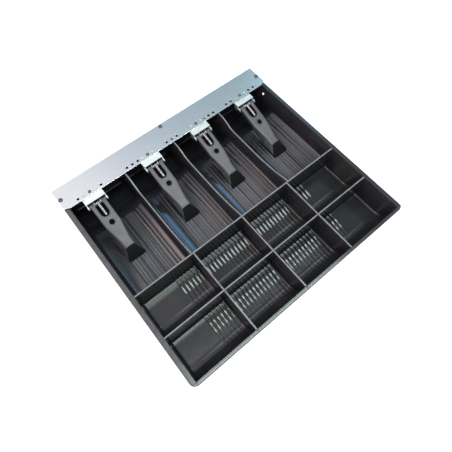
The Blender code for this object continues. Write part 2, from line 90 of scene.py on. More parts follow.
# Tray
HALF_X, HALF_Y = TRAY_HIGH.x, TRAY_HIGH.y
WALL = 2.2 * MM
INNER_X = HALF_X - 7 * MM
FRONT_Y = -HALF_Y + 4.5 * MM
REAR_Y = HALF_Y - 8 * MM
RIM_DROP = 10 * MM
RIM_LIP = 2 * MM
CORNER = 8 * MM
NOTE_WALL_Y = -32.3 * MM
CUP_WALL_Y = -96 * MM
NOTE_DIVIDERS = (-86 * MM, 0.0, 86 * MM)
CUP_DIVIDERS = (-83.2 * MM, 0.0, 83.2 * MM)
DIVIDER_TOP = TOP - 0.3 * MM
NOTE_FLOOR = 21.5 * MM
POCKET_FLOOR = WALL
POCKET_SLOPE = (88 * MM, 124 * MM)
CUP_FLOOR = 17 * MM
CUP_FLAT = 39 * MM
SCOOP_ANGLE = math.radians(75)
# Place along Y and drop of the note dividers' top below the rim, in mm
DIVIDER_LINE = (
    (-32.3, 0.15), (-25.0, 0.7), (-18.0, 2.8), (-8.0, 5.4), (5.0, 7.4),
    (18.0, 9.0), (30.0, 9.5), (88.0, 9.5), (92.5, 9.0), (97.0, 7.7),
    (102.0, 5.0), (108.0, 2.2), (112.5, 0.8), (117.0, 0.15), (160.0, 0.15),
)

# Cross section of a wall: half its thickness at its top and its foot, and the rounding of its top
HEAD = 1.0 * MM
FOOT = 1.9 * MM
ROUND = 0.75 * MM
RIM_ROUND = 1.2 * MM
STEP = 0.02 * MM
BAY_FILLET = 7 * MM
BAY_SLANT = (7.5 * MM, 22 * MM)
SLANT_ANGLE = math.radians(23)
CUP_FILLET = 3.4 * MM
WALL_FILLET = 3 * MM
SCOOP_FILLET = 0.8 * MM

# Ribs moulded on the floors
CUP_RIB_PITCH = 6.215 * MM
CUP_RIB_FIRST = -119.2 * MM
CUP_RIB_COUNT = 39
CUP_RIB_CLEAR = 4.2 * MM
CUP_RIB_HEAD = 1.15 * MM
CUP_RIB_FOOT = 1.95 * MM
CUP_RIB_LEAN = math.radians(6)
# Distance in front of the wall behind, and height of the cup ribs there, in mm
CUP_RIB_LINE = ((0, 2.8), (13.6, 2.8), (14.2, 2.75), (26.8, 0.5), (27.4, 0.45))
CUP_RIB_LINE += ((39, 0.45), (52, 0.4), (59, 0.1))
# Ribs and fine lines of a bay: distances from its left side in mm, then half width and height
BAY_RIBS = (22.2, 38.2, 53.2, 67.6, 73.3, 78.3)
BAY_RIB = (1.35 * MM, 0.7 * MM)
BAY_LINES = (27.5, 32.8, 43.2, 48.2, 58.0, 62.8)
BAY_LINE = (0.8 * MM, 0.16 * MM)
BAY_RIB_START = (3 * MM, 3 * MM)
BAY_RIB_END = (94 * MM, 8 * MM)
BAY_RIB_CLEAR = 14 * MM

# Hollows under the rim, and the slots through the side walls
SIDE_GROOVE_REAR = 136.5 * MM
REAR_GROOVE_START = 6 * MM
SIDE_SLOT = Vector((6, 3.4, 9.0)) * MM
SIDE_SLOT_ROUND = 1.0 * MM
SIDE_SLOT_TILT = math.radians(30)
SIDE_SLOT_Y = 119.5 * MM
SIDE_SLOT_DROP = 16.5 * MM
SEAM = 0.1 * MM


def smoothstep(value):
    value = np.clip(value, 0, 1)
    return value * value * (3 - 2 * value)


# ---- the tray's surface as heights over the plan ----


def wall_distance(at, walls, ends):
    """Distance to the nearest wall's middle, and +1 or -1 for the side of the wall it is on."""
    gaps = [at - wall for wall in walls]
    gaps += [at - ends[0], at - ends[1]]
    nearest = np.argmin(np.abs(gaps), axis=0)
    gap = np.take_along_axis(np.array(gaps), nearest[None], 0)[0]
    gap = np.where((at < ends[0]) | (at > ends[1]), 0, gap)
    return np.abs(gap), np.where(gap >= 0, 1, -1)


def fillet(distance, radius):
    """Height of a wall's fillet above the floor at a distance from the wall's foot."""
    inside = np.clip(radius - np.maximum(distance - FOOT, 0), 0, radius)
    return radius - np.sqrt(np.maximum(radius**2 - inside**2, 0))


def wall_height(distance, radius, full):
    """Fillet first, then the drafted face up to the wall's full height."""
    share = np.clip((FOOT - distance) / (FOOT - HEAD), 0, 1)
    return fillet(distance, radius) + share * np.maximum(full - radius, 0)


def cap_drop(distance, radius=ROUND, edge=HEAD):
    """How far a wall's rounded top lies below its middle."""
    bend = np.clip((distance - (edge - radius)) / radius, 0, 1)
    return radius * (1 - np.sqrt(np.maximum(1 - bend**2, 0)))


def scoop_start(rear_y):
    return rear_y - CUP_FLAT


def scoop_radius(rear_y, front_y):
    return (scoop_start(rear_y) - front_y) / math.sin(SCOOP_ANGLE)


def cup_floor(y, rear_y, front_y):
    """A flat floor, then a scoop up to the wall in front."""
    radius = scoop_radius(rear_y, front_y)
    far = np.clip(scoop_start(rear_y) - y, 0, radius * math.sin(SCOOP_ANGLE))
    return CUP_FLOOR + radius - np.sqrt(radius**2 - far**2)


def front_floor(y):
    rear_row = cup_floor(y, NOTE_WALL_Y - HEAD, CUP_WALL_Y)
    front_row = cup_floor(y, CUP_WALL_Y - HEAD, FRONT_Y - WALL / 2)
    return np.where(y > CUP_WALL_Y, rear_row, front_row)


def rear_floor(y):
    """Level, then a smooth fall into the pocket below the bar."""
    low, high = POCKET_SLOPE
    share = np.clip((y - low) / (high - low), 0, 1)
    return POCKET_FLOOR + (NOTE_FLOOR - POCKET_FLOOR) * (1 + np.cos(np.pi * share)) / 2


def plan_floor(y):
    return np.where(y > NOTE_WALL_Y, rear_floor(y), front_floor(y))


def divider_top(y):
    places, drops = zip(*DIVIDER_LINE)
    return TOP - np.interp(y, np.array(places) * MM, np.array(drops) * MM)


def surface(x, y, floor, x_walls, fillet_x, top_x):
    """Height of the moulded surface over the plan, before its ribs."""
    x_ends = (-INNER_X - HEAD, INNER_X + HEAD)
    y_ends = (FRONT_Y - HEAD, REAR_Y + HEAD)
    dx, _ = wall_distance(x, x_walls, x_ends)
    dy, side = wall_distance(y, (CUP_WALL_Y, NOTE_WALL_Y), y_ends)
    near_rim_x = np.abs(x) > INNER_X - 8 * MM
    near_rim_y = (y < FRONT_Y + 8 * MM) | (y > REAR_Y - 8 * MM)
    head_x = np.where(near_rim_x, TOP, top_x)
    head_y = np.where(near_rim_y, TOP, DIVIDER_TOP)
    fillet_y = np.where(side > 0, SCOOP_FILLET, WALL_FILLET)
    fillet_y = np.where((y > NOTE_WALL_Y) | (y < FRONT_Y), WALL_FILLET, fillet_y)
    rise_x = wall_height(dx, fillet_x, head_x - ROUND - floor)
    rise_y = wall_height(dy, fillet_y, head_y - ROUND - floor)
    cap_x = head_x - cap_drop(dx)
    cap_y = head_y - cap_drop(dy)
    made_x = np.minimum(cap_x, floor + rise_x)
    made_y = np.minimum(cap_y, floor + rise_y)
    corner = np.minimum(np.minimum(cap_x, cap_y), floor + np.hypot(rise_x, rise_y))
    height = np.maximum(np.maximum(made_x, made_y), corner)
    edge = np.minimum(HALF_X - np.abs(x), HALF_Y - np.abs(y))
    return height - cap_drop(RIM_ROUND - edge, RIM_ROUND, RIM_ROUND)


def front_surface(x, y):
    return surface(x, y, front_floor(y), CUP_DIVIDERS, CUP_FILLET, DIVIDER_TOP)


def bay_slant(x):
    """Extra height of the flat slants along both sides of each bay's floor."""
    distance, _ = wall_distance(x, NOTE_DIVIDERS, (-INNER_X - HEAD, INNER_X + HEAD))
    low, high = BAY_SLANT
    return (high - np.clip(distance, low, high)) * math.tan(SLANT_ANGLE) * (np.abs(x) < INNER_X)


def rear_surface(x, y):
    share = np.clip((NOTE_FLOOR - rear_floor(y)) / (NOTE_FLOOR - POCKET_FLOOR), 0, 1)
    floor = rear_floor(y) + bay_slant(x) * (1 - share)
    return surface(x, y, floor, NOTE_DIVIDERS, BAY_FILLET, divider_top(y))


def ridge(near):
    """Share of a rib's fall from its crest to its foot: nearly flat flanks, a little rounded."""
    return near * 0.55 + smoothstep(near) * 0.45


def rib_shape(x, ribs):
    """Height of the ribs at x, where a rib is its middle, half its width and its height."""
    total = np.zeros_like(x)
    for middle, half, height in ribs:
        near = np.clip(np.abs(x - middle) / half, 0, 1)
        total = np.maximum(total, height * (1 - ridge(near)))
    return total


def cup_ribs():
    """Middles of the ribs on the cup floors."""
    middles = [CUP_RIB_FIRST + i * CUP_RIB_PITCH for i in range(CUP_RIB_COUNT)]
    return [m for m in middles if min(abs(m - d) for d in CUP_DIVIDERS) > CUP_RIB_CLEAR]


def with_cup_ribs(x, y):
    """The cups' surface with flat-topped ribs that step down by ramps and fade out up the scoop."""
    base = front_surface(x, y)
    rear_y = np.where(y > CUP_WALL_Y, NOTE_WALL_Y, CUP_WALL_Y) - HEAD
    places, heights = zip(*CUP_RIB_LINE)
    rise = np.interp((rear_y - y) / MM, places, heights) * MM
    shape = np.zeros_like(x)
    lean = np.zeros_like(x)
    for middle in cup_ribs():
        fall = (np.abs(x - middle) - CUP_RIB_HEAD) / (CUP_RIB_FOOT - CUP_RIB_HEAD)
        shape = np.maximum(shape, 1 - smoothstep(fall))
        lean = np.where(fall < 1, (x - middle) * math.tan(CUP_RIB_LEAN), lean)
    inside = (y > FRONT_Y) & (y < NOTE_WALL_Y - FOOT)
    inside &= np.abs(y - CUP_WALL_Y) > FOOT - STEP
    return x, y, base + (rise + lean * np.minimum(rise / MM, 1)) * shape * inside


def bay_ribs():
    ribs = []
    for left in (-INNER_X, *NOTE_DIVIDERS):
        ribs += [(left + offset * MM, *BAY_RIB) for offset in BAY_RIBS]
        ribs += [(left + offset * MM, *BAY_LINE) for offset in BAY_LINES]
    return ribs


def with_bay_ribs(x, y):
    """The bays' surface moved out along its own normal by the ribs' height."""
    base = rear_surface(x, y)
    slope_x = (rear_surface(x + STEP, y) - rear_surface(x - STEP, y)) / (2 * STEP)
    slope_y = (rear_surface(x, y + STEP) - rear_surface(x, y - STEP)) / (2 * STEP)
    steep = np.sqrt(1 + slope_x**2 + slope_y**2)
    out = rib_shape(x, bay_ribs()) * bay_fade(y, base)
    return x - slope_x / steep * out, y - slope_y / steep * out, base + out / steep


def bay_fade(y, base):
    """Share of the bay ribs' height left near their ends, and none up on the dividers."""
    clear, fade_in = BAY_RIB_START
    stop, fade_out = BAY_RIB_END
    start = smoothstep((y - NOTE_WALL_Y - clear) / fade_in)
    end = smoothstep((stop - y) / fade_out)
    return start * end * (base < DIVIDER_TOP - BAY_RIB_CLEAR)


def wall_lines(middle, radius, sides=(-1, 1), steps=6):
    """Plan lines that follow a wall's rounded top, its face and its fillet."""
    near = [HEAD - ROUND, HEAD - ROUND * 0.7, HEAD - ROUND * 0.34, HEAD - ROUND * 0.08, HEAD]
    support = (FOOT - HEAD) * 0.04
    near += [HEAD + support, FOOT - support, FOOT]
    turn = [math.pi / 2 * (i + 1) / steps for i in range(steps)]
    near += [FOOT + radius * (1 - math.cos(a)) for a in turn]
    near.append(FOOT + radius * 1.12)
    lines = [middle + side * offset for side in sides for offset in near]
    return [middle, *lines] if len(sides) > 1 else lines


def slant_lines():
    """Plan lines at both edges of the slants beside the bays' walls."""
    lines = [wall + side * edge for wall in NOTE_DIVIDERS for side in (-1, 1) for edge in BAY_SLANT]
    return lines + [side * (INNER_X + HEAD - edge) for side in (-1, 1) for edge in BAY_SLANT]


def rib_lines(ribs):
    shares = (-1, -0.86, -0.6, -0.3, -0.1, 0.1, 0.3, 0.6, 0.86, 1)
    return [middle + half * share for middle, half, _ in ribs for share in shares]


def cup_rib_lines():
    span = CUP_RIB_FOOT - CUP_RIB_HEAD
    offsets = [CUP_RIB_HEAD + span * share for share in (-0.25, 0, 0.2, 0.4, 0.6, 0.8, 1, 1.25)]
    return [middle + side * offset for middle in cup_ribs() for offset in offsets for side in (-1, 1)]


def rim_lines(inner, outer):
    """Plan lines across the rim from its inner edge out."""
    side = 1 if outer > 0 else -1
    edge = abs(outer)
    bends = [edge - RIM_ROUND * share for share in (1.0, 0.7, 0.42, 0.18, 0.04, 0)]
    return [side * (abs(inner) + (bends[0] - abs(inner)) / 2), *[side * bend for bend in bends]]


def ordered(lines, low, high, apart=0.05 * MM):
    """Sorted plan lines between two ends, which are kept, without near doubles."""
    kept = [low]
    for line in sorted(line for line in lines if low < line < high):
        if line - kept[-1] > apart:
            kept.append(line)
    if high - kept[-1] <= apart:
        kept.pop()
    return np.array([*kept, high])


def across(walls, radius, more):
    """All plan lines from one side of the tray to the other."""
    lines = [line for wall in walls for line in wall_lines(wall, radius)]
    for side in (-1, 1):
        lines += wall_lines(side * (INNER_X + HEAD), radius, (-side,))
        lines += rim_lines(side * (INNER_X + HEAD), side * HALF_X)
    return ordered(lines + more, -HALF_X, HALF_X)


def scoop_lines(rear_y, front_y, steps=14):
    radius = scoop_radius(rear_y, front_y)
    lines = [rear_y - place * MM for place in (8, 13.6, 14.2, 20, 26.8, 27.4, 33, 38)]
    for i in range(steps + 1):
        lines.append(scoop_start(rear_y) - radius * math.sin(SCOOP_ANGLE * i / steps))
    return lines


def front_lines(seam):
    lines = wall_lines(NOTE_WALL_Y, WALL_FILLET, (-1,), 5)
    lines += wall_lines(CUP_WALL_Y, WALL_FILLET, (-1,), 5)
    lines += wall_lines(CUP_WALL_Y, SCOOP_FILLET, (1,), 2)
    lines += wall_lines(FRONT_Y - HEAD, SCOOP_FILLET, (1,), 2)
    lines += scoop_lines(NOTE_WALL_Y - HEAD, CUP_WALL_Y)
    lines += scoop_lines(CUP_WALL_Y - HEAD, FRONT_Y - WALL / 2)
    lines += rim_lines(FRONT_Y - HEAD, -HALF_Y) + [CUP_WALL_Y]
    return ordered(lines, -HALF_Y, seam)


def rear_lines(seam):
    lines = wall_lines(NOTE_WALL_Y, WALL_FILLET, (1,), 5)
    lines += wall_lines(REAR_Y + HEAD, WALL_FILLET, (-1,), 5)
    lines += rim_lines(REAR_Y + HEAD, HALF_Y)
    lines += [line * MM for line in range(-26, 50, 6)]
    lines += [line * MM for line in range(50, 128, 4)]
    return ordered(lines, seam, HALF_Y)


def rounded_plan(x, y):
    """Pulls the square corners of the plan in to round ones."""
    across_x = np.clip((np.abs(x) - (HALF_X - CORNER)) / CORNER, 0, 1)
    across_y = np.clip((np.abs(y) - (HALF_Y - CORNER)) / CORNER, 0, 1)
    inset_x = across_x * (1 - np.sqrt(1 - across_y**2 / 2)) * CORNER
    inset_y = across_y * (1 - np.sqrt(1 - across_x**2 / 2)) * CORNER
    return x - np.sign(x) * inset_x, y - np.sign(y) * inset_y


class Skin:
    """Collects points and faces of a closed surface made of grids and the strips between them."""

    def __init__(self):
        self.points = []
        self.faces = []
        self.wear_and_sheen = []

    def grid(self, x, y, z, wear_and_sheen, up):
        """Adds a grid of points indexed [along x, along y] and returns their numbers."""
        base = len(self.points)
        numbers = base + np.arange(x.size).reshape(x.shape)
        self.points += list(zip(x.ravel(), y.ravel(), z.ravel()))
        self.wear_and_sheen += list(wear_and_sheen.ravel())
        quads = (numbers[:-1, :-1], numbers[1:, :-1], numbers[1:, 1:], numbers[:-1, 1:])
        if not up:
            quads = quads[::-1]
        stacked = np.stack([q.ravel() for q in quads], 1)
        self.faces += [tuple(int(n) for n in q) for q in stacked]
        return numbers

    def strip(self, lower, upper):
        """Joins two lines of (place along the line, point number) with triangles."""
        i = j = 0
        while i < len(lower) - 1 or j < len(upper) - 1:
            next_low = lower[i + 1][0] if i < len(lower) - 1 else math.inf
            next_up = upper[j + 1][0] if j < len(upper) - 1 else math.inf
            if next_low <= next_up:
                self.faces.append((lower[i][1], lower[i + 1][1], upper[j][1]))
                i += 1
            else:
                self.faces.append((lower[i][1], upper[j + 1][1], upper[j][1]))
                j += 1


def border(places, numbers):
    """One closed line of (place, point number) round the plan, a whole number at each corner."""
    (front_x, side_y, rear_x), (front, right, rear, left) = places, numbers
    front_x, rear_x = (front_x + HALF_X) / (2 * HALF_X), (rear_x + HALF_X) / (2 * HALF_X)
    side_y = (side_y + HALF_Y) / (2 * HALF_Y)
    sides = ((front_x, front), (side_y, right), (1 - rear_x[::-1], rear[::-1]))
    line = []
    for turn, (shares, points) in enumerate((*sides, (1 - side_y[::-1], left[::-1]))):
        line += [(turn + float(p), int(n)) for p, n in zip(shares[:-1], points[:-1])]
    line.append((4.0, line[0][1]))
    return line


def underside(x, y):
    """Height of the tray's lower surface: floors, walls below them, skirt and hollow rim."""
    across_x = np.abs(x)
    slope = (plan_floor(y + STEP) - plan_floor(y - STEP)) / (2 * STEP)
    floor = plan_floor(y) - WALL * np.minimum(np.sqrt(1 + slope**2), 5)
    dividers = np.where(y > NOTE_WALL_Y, NOTE_DIVIDERS[-1], CUP_DIVIDERS[-1])
    walls_x = np.minimum(across_x, np.abs(across_x - dividers)) < HEAD
    walls_y = np.minimum(np.abs(y - NOTE_WALL_Y), np.abs(y - CUP_WALL_Y)) < HEAD
    low = np.where(walls_x | walls_y, RIM_LIP, floor)
    inside = (across_x < INNER_X) & (y > FRONT_Y) & (y < REAR_Y)
    skirt = (across_x < INNER_X + WALL) & (y > FRONT_Y - WALL) & (y < REAR_Y + WALL)
    side_groove = (across_x > INNER_X + WALL) & (across_x < HALF_X - RIM_LIP)
    side_groove &= (y > FRONT_Y + CORNER) & (y < SIDE_GROOVE_REAR)
    rear_groove = (across_x > REAR_GROOVE_START) & (across_x < INNER_X - CORNER)
    rear_groove &= (y > REAR_Y + WALL) & (y < HALF_Y - RIM_LIP)
    rim = np.where(side_groove | rear_groove, TOP - WALL, TOP - RIM_DROP)
    return np.where(inside, low, np.where(skirt, 0, rim))


def stepped(places):
    """Two lines close together at each place, so that a step in height is a clean face."""
    return [place + side * STEP / 2 for place in places for side in (-1, 1)]


def underside_lines():
    dividers = (0, CUP_DIVIDERS[-1], NOTE_DIVIDERS[-1])
    steps_x = [wall + side * HEAD for wall in dividers for side in (-1, 1)]
    steps_x += [INNER_X, INNER_X + WALL, HALF_X - RIM_LIP, REAR_GROOVE_START, INNER_X - CORNER]
    steps_x += [-step for step in steps_x]
    steps_y = [wall + side * HEAD for wall in (NOTE_WALL_Y, CUP_WALL_Y) for side in (-1, 1)]
    steps_y += [FRONT_Y, FRONT_Y - WALL, REAR_Y, REAR_Y + WALL, HALF_Y - RIM_LIP]
    steps_y += [FRONT_Y + CORNER, SIDE_GROOVE_REAR]
    lines_x, lines_y = stepped(steps_x), stepped(steps_y)
    for share in (0.3, 0.6, 1):
        lines_x += [side * (HALF_X - CORNER * share) for side in (-1, 1)]
        lines_y += [side * (HALF_Y - CORNER * share) for side in (-1, 1)]
    lines_y += scoop_lines(NOTE_WALL_Y - HEAD, CUP_WALL_Y, 10)
    lines_y += scoop_lines(CUP_WALL_Y - HEAD, FRONT_Y - WALL / 2, 10)
    lines_y += [line * MM for line in range(50, 126, 8)]
    gap = STEP / 4
    return ordered(lines_x, -HALF_X, HALF_X, gap), ordered(lines_y, -HALF_Y, HALF_Y, gap)


def wear_and_sheen_on(x, y, x_walls):
    """How rubbed the surface is, most on the tops of the dividers, and a painted sheen on the rim,
    lighter on the left side where more light falls.
    """
    dx, _ = wall_distance(x, x_walls, (-INNER_X - HEAD, INNER_X + HEAD))
    dy, _ = wall_distance(y, (CUP_WALL_Y, NOTE_WALL_Y), (FRONT_Y - HEAD, REAR_Y + HEAD))
    on_top = smoothstep((HEAD * 1.1 - np.minimum(dx, dy)) / (0.35 * MM))
    # Painted sheen on the rim: lighter on the left, where more light falls, than at the front and on the
    # right.
    rim = np.where(y < FRONT_Y, 0.1, 0.08)
    rim = np.where(x < -INNER_X, 0.3, rim)
    outside = (np.abs(x) > INNER_X) | (y < FRONT_Y) | (y > REAR_Y)
    return on_top * np.where(outside, rim, 1)


def make_tray(material):
    """One closed moulding: ribbed upper surface, rim, skirt and hollow underside."""
    skin = Skin()
    halves = []
    cups = across(CUP_DIVIDERS, CUP_FILLET, cup_rib_lines())
    bays = across(NOTE_DIVIDERS, BAY_FILLET, rib_lines(bay_ribs()) + slant_lines())
    for walls, line_x, shape, lines in (
        (CUP_DIVIDERS, cups, with_cup_ribs, front_lines(NOTE_WALL_Y - SEAM)),
        (NOTE_DIVIDERS, bays, with_bay_ribs, rear_lines(NOTE_WALL_Y + SEAM)),
    ):
        x, y = np.meshgrid(line_x, lines, indexing="ij")
        px, py, pz = shape(x, y)
        px, py = rounded_plan(px, py)
        halves.append((line_x, lines, skin.grid(px, py, pz, wear_and_sheen_on(x, y, walls), True)))
    (front_x, front_y, front), (rear_x, rear_y, rear) = halves
    skin.strip(list(zip(front_x, front[:, -1])), list(zip(rear_x, rear[:, 0])))

    low_x, low_y = underside_lines()
    x, y = np.meshgrid(low_x, low_y, indexing="ij")
    z = underside(x, y)
    x, y = rounded_plan(x, y)
    low = skin.grid(x, y, z, np.zeros_like(x), False)

    side_y = np.concatenate([front_y, rear_y])
    right = np.concatenate([front[-1], rear[-1]])
    left = np.concatenate([front[0], rear[0]])
    top_loop = border((front_x, side_y, rear_x), (front[:, 0], right, rear[:, -1], left))
    low_loop = border((low_x, low_y, low_x), (low[:, 0], low[-1], low[:, -1], low[0]))
    skin.strip(low_loop, top_loop)

    mesh = bpy.data.meshes.new("tray_moulding")
    mesh.from_pydata([tuple(map(float, p)) for p in skin.points], [], skin.faces)
    mesh.validate()
    # Rubbed divider tops and the painted sheen on the rim, kept at each point.
    wear_and_sheen = mesh.attributes.new("wear_and_sheen", "FLOAT", "POINT")
    wear_and_sheen.data.foreach_set("value", np.array(skin.wear_and_sheen, np.float32))
    tray = linked("tray_moulding", mesh)
    cut_side_slots(tray)
    dress(tray.data, material, 48)
    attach(tray, "tray")
    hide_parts("till_tray")


def cut_side_slots(tray):
    """A short slanted slot through each side wall, in front of the bar."""
    for side in (-1, 1):
        centre = Vector((side * (INNER_X + WALL / 2), SIDE_SLOT_Y, TOP - SIDE_SLOT_DROP))
        shape = box_shape(centre, SIDE_SLOT, SIDE_SLOT_TILT, "X")
        long_edges = [
            e for e in shape.edges if abs((e.verts[0].co - e.verts[1].co).x) > SIDE_SLOT.x / 2
        ]
        bmesh.ops.bevel(shape, geom=long_edges, offset=SIDE_SLOT_ROUND, segments=3, affect="EDGES")
        cut_with(tray, shaped("slot", shape))


def mesh_from(name, shape):
    """The bmesh as a mesh, with the bmesh given up."""
    mesh = bpy.data.meshes.new(name)
    shape.to_mesh(mesh)
    shape.free()
    return mesh


def shaped(name, shape):
    return linked(name, mesh_from(name, shape))


def face_out(shape):
    bmesh.ops.recalc_face_normals(shape, faces=shape.faces)


def linked(name, data):
    made = bpy.data.objects.new(name, data)
    bpy.context.scene.collection.objects.link(made)
    return made


def box_shape(centre, size, turn, axis):
    shape = bmesh.new()
    bmesh.ops.create_cube(shape, size=1)
    matrix = Matrix.LocRotScale(centre, Matrix.Rotation(turn, 3, axis).to_quaternion(), size)
    bmesh.ops.transform(shape, matrix=matrix, verts=shape.verts)
    return shape


def cut_with(target, tool):
    """Cuts the tool's shape out of the target and removes the tool."""
    modifier = target.modifiers.new("cut", "BOOLEAN")
    modifier.operation = "DIFFERENCE"
    modifier.object = tool
    modifier.solver = "EXACT"
    bake(target)
    bpy.data.objects.remove(tool, do_unlink=True)


def evaluated_mesh(made):
    bpy.context.view_layer.update()
    evaluated = made.evaluated_get(bpy.context.evaluated_depsgraph_get())
    return bpy.data.meshes.new_from_object(evaluated)


def bake(made):
    """Turns the object's modifiers into its mesh."""
    mesh = evaluated_mesh(made)
    made.modifiers.clear()
    made.data = mesh


def dress(mesh, material, sharp=35):
    """Gives a finished mesh its material and smooth shading between its sharp edges."""
    mesh.materials.clear()
    mesh.materials.append(material)
    mesh.shade_smooth()
    mesh.set_sharp_from_angle(angle=math.radians(sharp))


def soften_edges(made, width, segments, angle):
    """Adds a bevel on the edges that turn by more than an angle."""
    bevel = made.modifiers.new("edges", "BEVEL")
    bevel.width = width
    bevel.segments = segments
    bevel.limit_method = "ANGLE"
    bevel.angle_limit = math.radians(angle)
    return bevel


def mesh_piece(name, shape, material, sharp=35):
    made = shaped(name, shape)
    dress(made.data, material, sharp)
    return made


def settle(piece, body, slot, *replaced):
    """Says which body the piece rides on and which nodes it stands for; the finish slot is not used."""
    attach(piece, body)
    if replaced:
        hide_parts(*replaced)


# ---- materials ----


class Paint:
    """A principled material with helpers for its procedural nodes."""

    def __init__(self, name, metallic=0.0, specular=0.5):
        self.material = bpy.data.materials.new(name)
        self.material.use_nodes = True
        self.tree = self.material.node_tree
        self.shader = self.tree.nodes["Principled BSDF"]
        self.shader.inputs["Metallic"].default_value = metallic
        self.shader.inputs["Specular IOR Level"].default_value = specular
        self.place = self.node("TexCoord").outputs["Object"]

    def link(self, source, target):
        self.tree.links.new(source, target)

    def feed(self, socket, value):
        """Gives a socket a number, a colour or another node's output."""
        if isinstance(value, (int, float)):
            socket.default_value = value
        elif isinstance(value, tuple):
            socket.default_value = (*value, 1)
        else:
            self.link(value, socket)

    def node(self, kind, **inputs):
        made = self.tree.nodes.new("ShaderNode" + kind)
        for name, value in inputs.items():
            self.feed(made.inputs[name], value)
        return made

    def noise(self, scale, detail, stretch=(1, 1, 1), rough=0.5):
        mapping = self.node("Mapping", Vector=self.place)
        mapping.inputs["Scale"].default_value = stretch
        place = mapping.outputs["Vector"]
        return self.node("TexNoise", Scale=scale, Detail=detail, Roughness=rough, Vector=place).outputs[0]

    def cells(self, scale):
        return self.node("TexVoronoi", Scale=scale, Vector=self.place).outputs["Color"]

    def ramp(self, value, *stops):
        node = self.node("ValToRGB", Fac=value)
        while len(node.color_ramp.elements) < len(stops):
            node.color_ramp.elements.new(0.5)
        for element, (place, colour) in zip(node.color_ramp.elements, stops):
            element.position = place
            element.color = (*colour, 1) if isinstance(colour, tuple) else (colour,) * 3 + (1,)
        return node.outputs["Color"]

    def mix(self, share, first, second):
        node = self.node("Mix")
        node.data_type = "RGBA"
        sockets = (node.inputs[0], node.inputs[6], node.inputs[7])
        for socket, value in zip(sockets, (share, first, second)):
            self.feed(socket, value)
        return node.outputs[2]

    def math(self, operation, first, second):
        node = self.node("Math")
        node.operation = operation
        for socket, value in zip(node.inputs, (first, second)):
            self.feed(socket, value)
        return node.outputs[0]

    def painted_top_light(self, low, high):
        """Painted light from above: from 0 on the sides of the resting piece to 1 on its upper faces."""
        split = self.node("SeparateXYZ", Vector=self.node("TexCoord").outputs["Normal"])
        return self.ramp(split.outputs["Z"], (low, 0.0), (high, 1.0))

    def attribute(self, name):
        node = self.node("Attribute")
        node.attribute_name = name
        return node.outputs["Fac"]

    def bump(self, height, distance, strength):
        node = self.node("Bump", Distance=distance, Strength=strength, Height=height)
        self.link(node.outputs["Normal"], self.shader.inputs["Normal"])

    def colour(self, source):
        self.link(source, self.shader.inputs["Base Color"])

    def roughness(self, source):
        self.link(source, self.shader.inputs["Roughness"])


def tray_plastic():
    """Black ABS: faint cloudy sheen, fine grain, sliding scratches, rubbed lighter on its tops, with a
    painted sheen on the rim.
    """
    paint = Paint("tray_plastic_black")
    cloud = paint.noise(28, 4)
    scratches = paint.noise(1, 5, (1500, 22, 900), 0.6)
    black = paint.ramp(cloud, (0.3, (0.011, 0.011, 0.013)), (0.75, (0.021, 0.02, 0.023)))
    black = paint.mix(paint.ramp(scratches, (0.6, 0.0), (0.76, 0.25)), black, (0.055, 0.054, 0.058))
    patch = paint.ramp(paint.noise(160, 4, rough=0.65), (0.3, 0.55), (0.65, 1.0))
    # Divider tops are rubbed grey; on the rim the same lighter mix is a painted sheen.
    worn_and_sheen = paint.math("MULTIPLY", paint.attribute("wear_and_sheen"), patch)
    paint.colour(paint.mix(worn_and_sheen, black, (0.2, 0.194, 0.2)))
    rough = paint.ramp(paint.noise(45, 4), (0.3, 0.13), (0.75, 0.19))
    paint.roughness(paint.mix(worn_and_sheen, rough, (0.42, 0.42, 0.42)))
    grain = paint.noise(1500, 2)
    paint.bump(paint.math("ADD", grain, paint.math("MULTIPLY", scratches, 0.3)), 0.02 * MM, 0.35)
    return paint.material


def zinc_bar():
    """Zinc-plated steel: smooth, with soft clouds and a fine crystal mottle."""
    paint = Paint("bar_zinc_plate", metallic=1.0)
    clouds = paint.noise(26, 3)
    mottle = paint.noise(420, 5, rough=0.7)
    base = paint.ramp(mottle, (0.3, (0.64, 0.67, 0.68)), (0.7, (0.71, 0.735, 0.74)))
    base = paint.mix(paint.ramp(clouds, (0.35, 0.0), (0.75, 0.2)), base, (0.75, 0.76, 0.765))
    paint.colour(base)
    paint.roughness(paint.ramp(paint.noise(140, 5, rough=0.6), (0.3, 0.24), (0.75, 0.27)))
    paint.bump(mottle, 0.01 * MM, 0.1)
    return paint.material


def bracket_zinc():
    """Brighter plated sheet with a satin face and faint grey handling marks."""
    paint = Paint("bracket_zinc_plate", metallic=0.85)
    marks = paint.noise(220, 5, rough=0.7)
    paint.colour(paint.ramp(marks, (0.3, (0.66, 0.68, 0.64)), (0.65, (0.86, 0.875, 0.84))))
    paint.roughness(paint.ramp(paint.noise(400, 3), (0.3, 0.3), (0.7, 0.45)))
    paint.bump(marks, 0.04 * MM, 0.4)
    return paint.material


def steel(name, dark, bright, roughness):
    """Turned or drawn steel with fine uneven polish."""
    paint = Paint(name, metallic=1.0)
    marks = paint.noise(900, 4, rough=0.65)
    low, high = (dark, dark, dark * 1.02), (bright, bright, bright * 1.01)
    paint.colour(paint.ramp(marks, (0.3, low), (0.7, high)))
    paint.roughness(paint.ramp(paint.noise(500, 3), (0.3, roughness), (0.7, roughness * 1.5)))
    paint.bump(marks, 0.02 * MM, 0.4)
    return paint.material


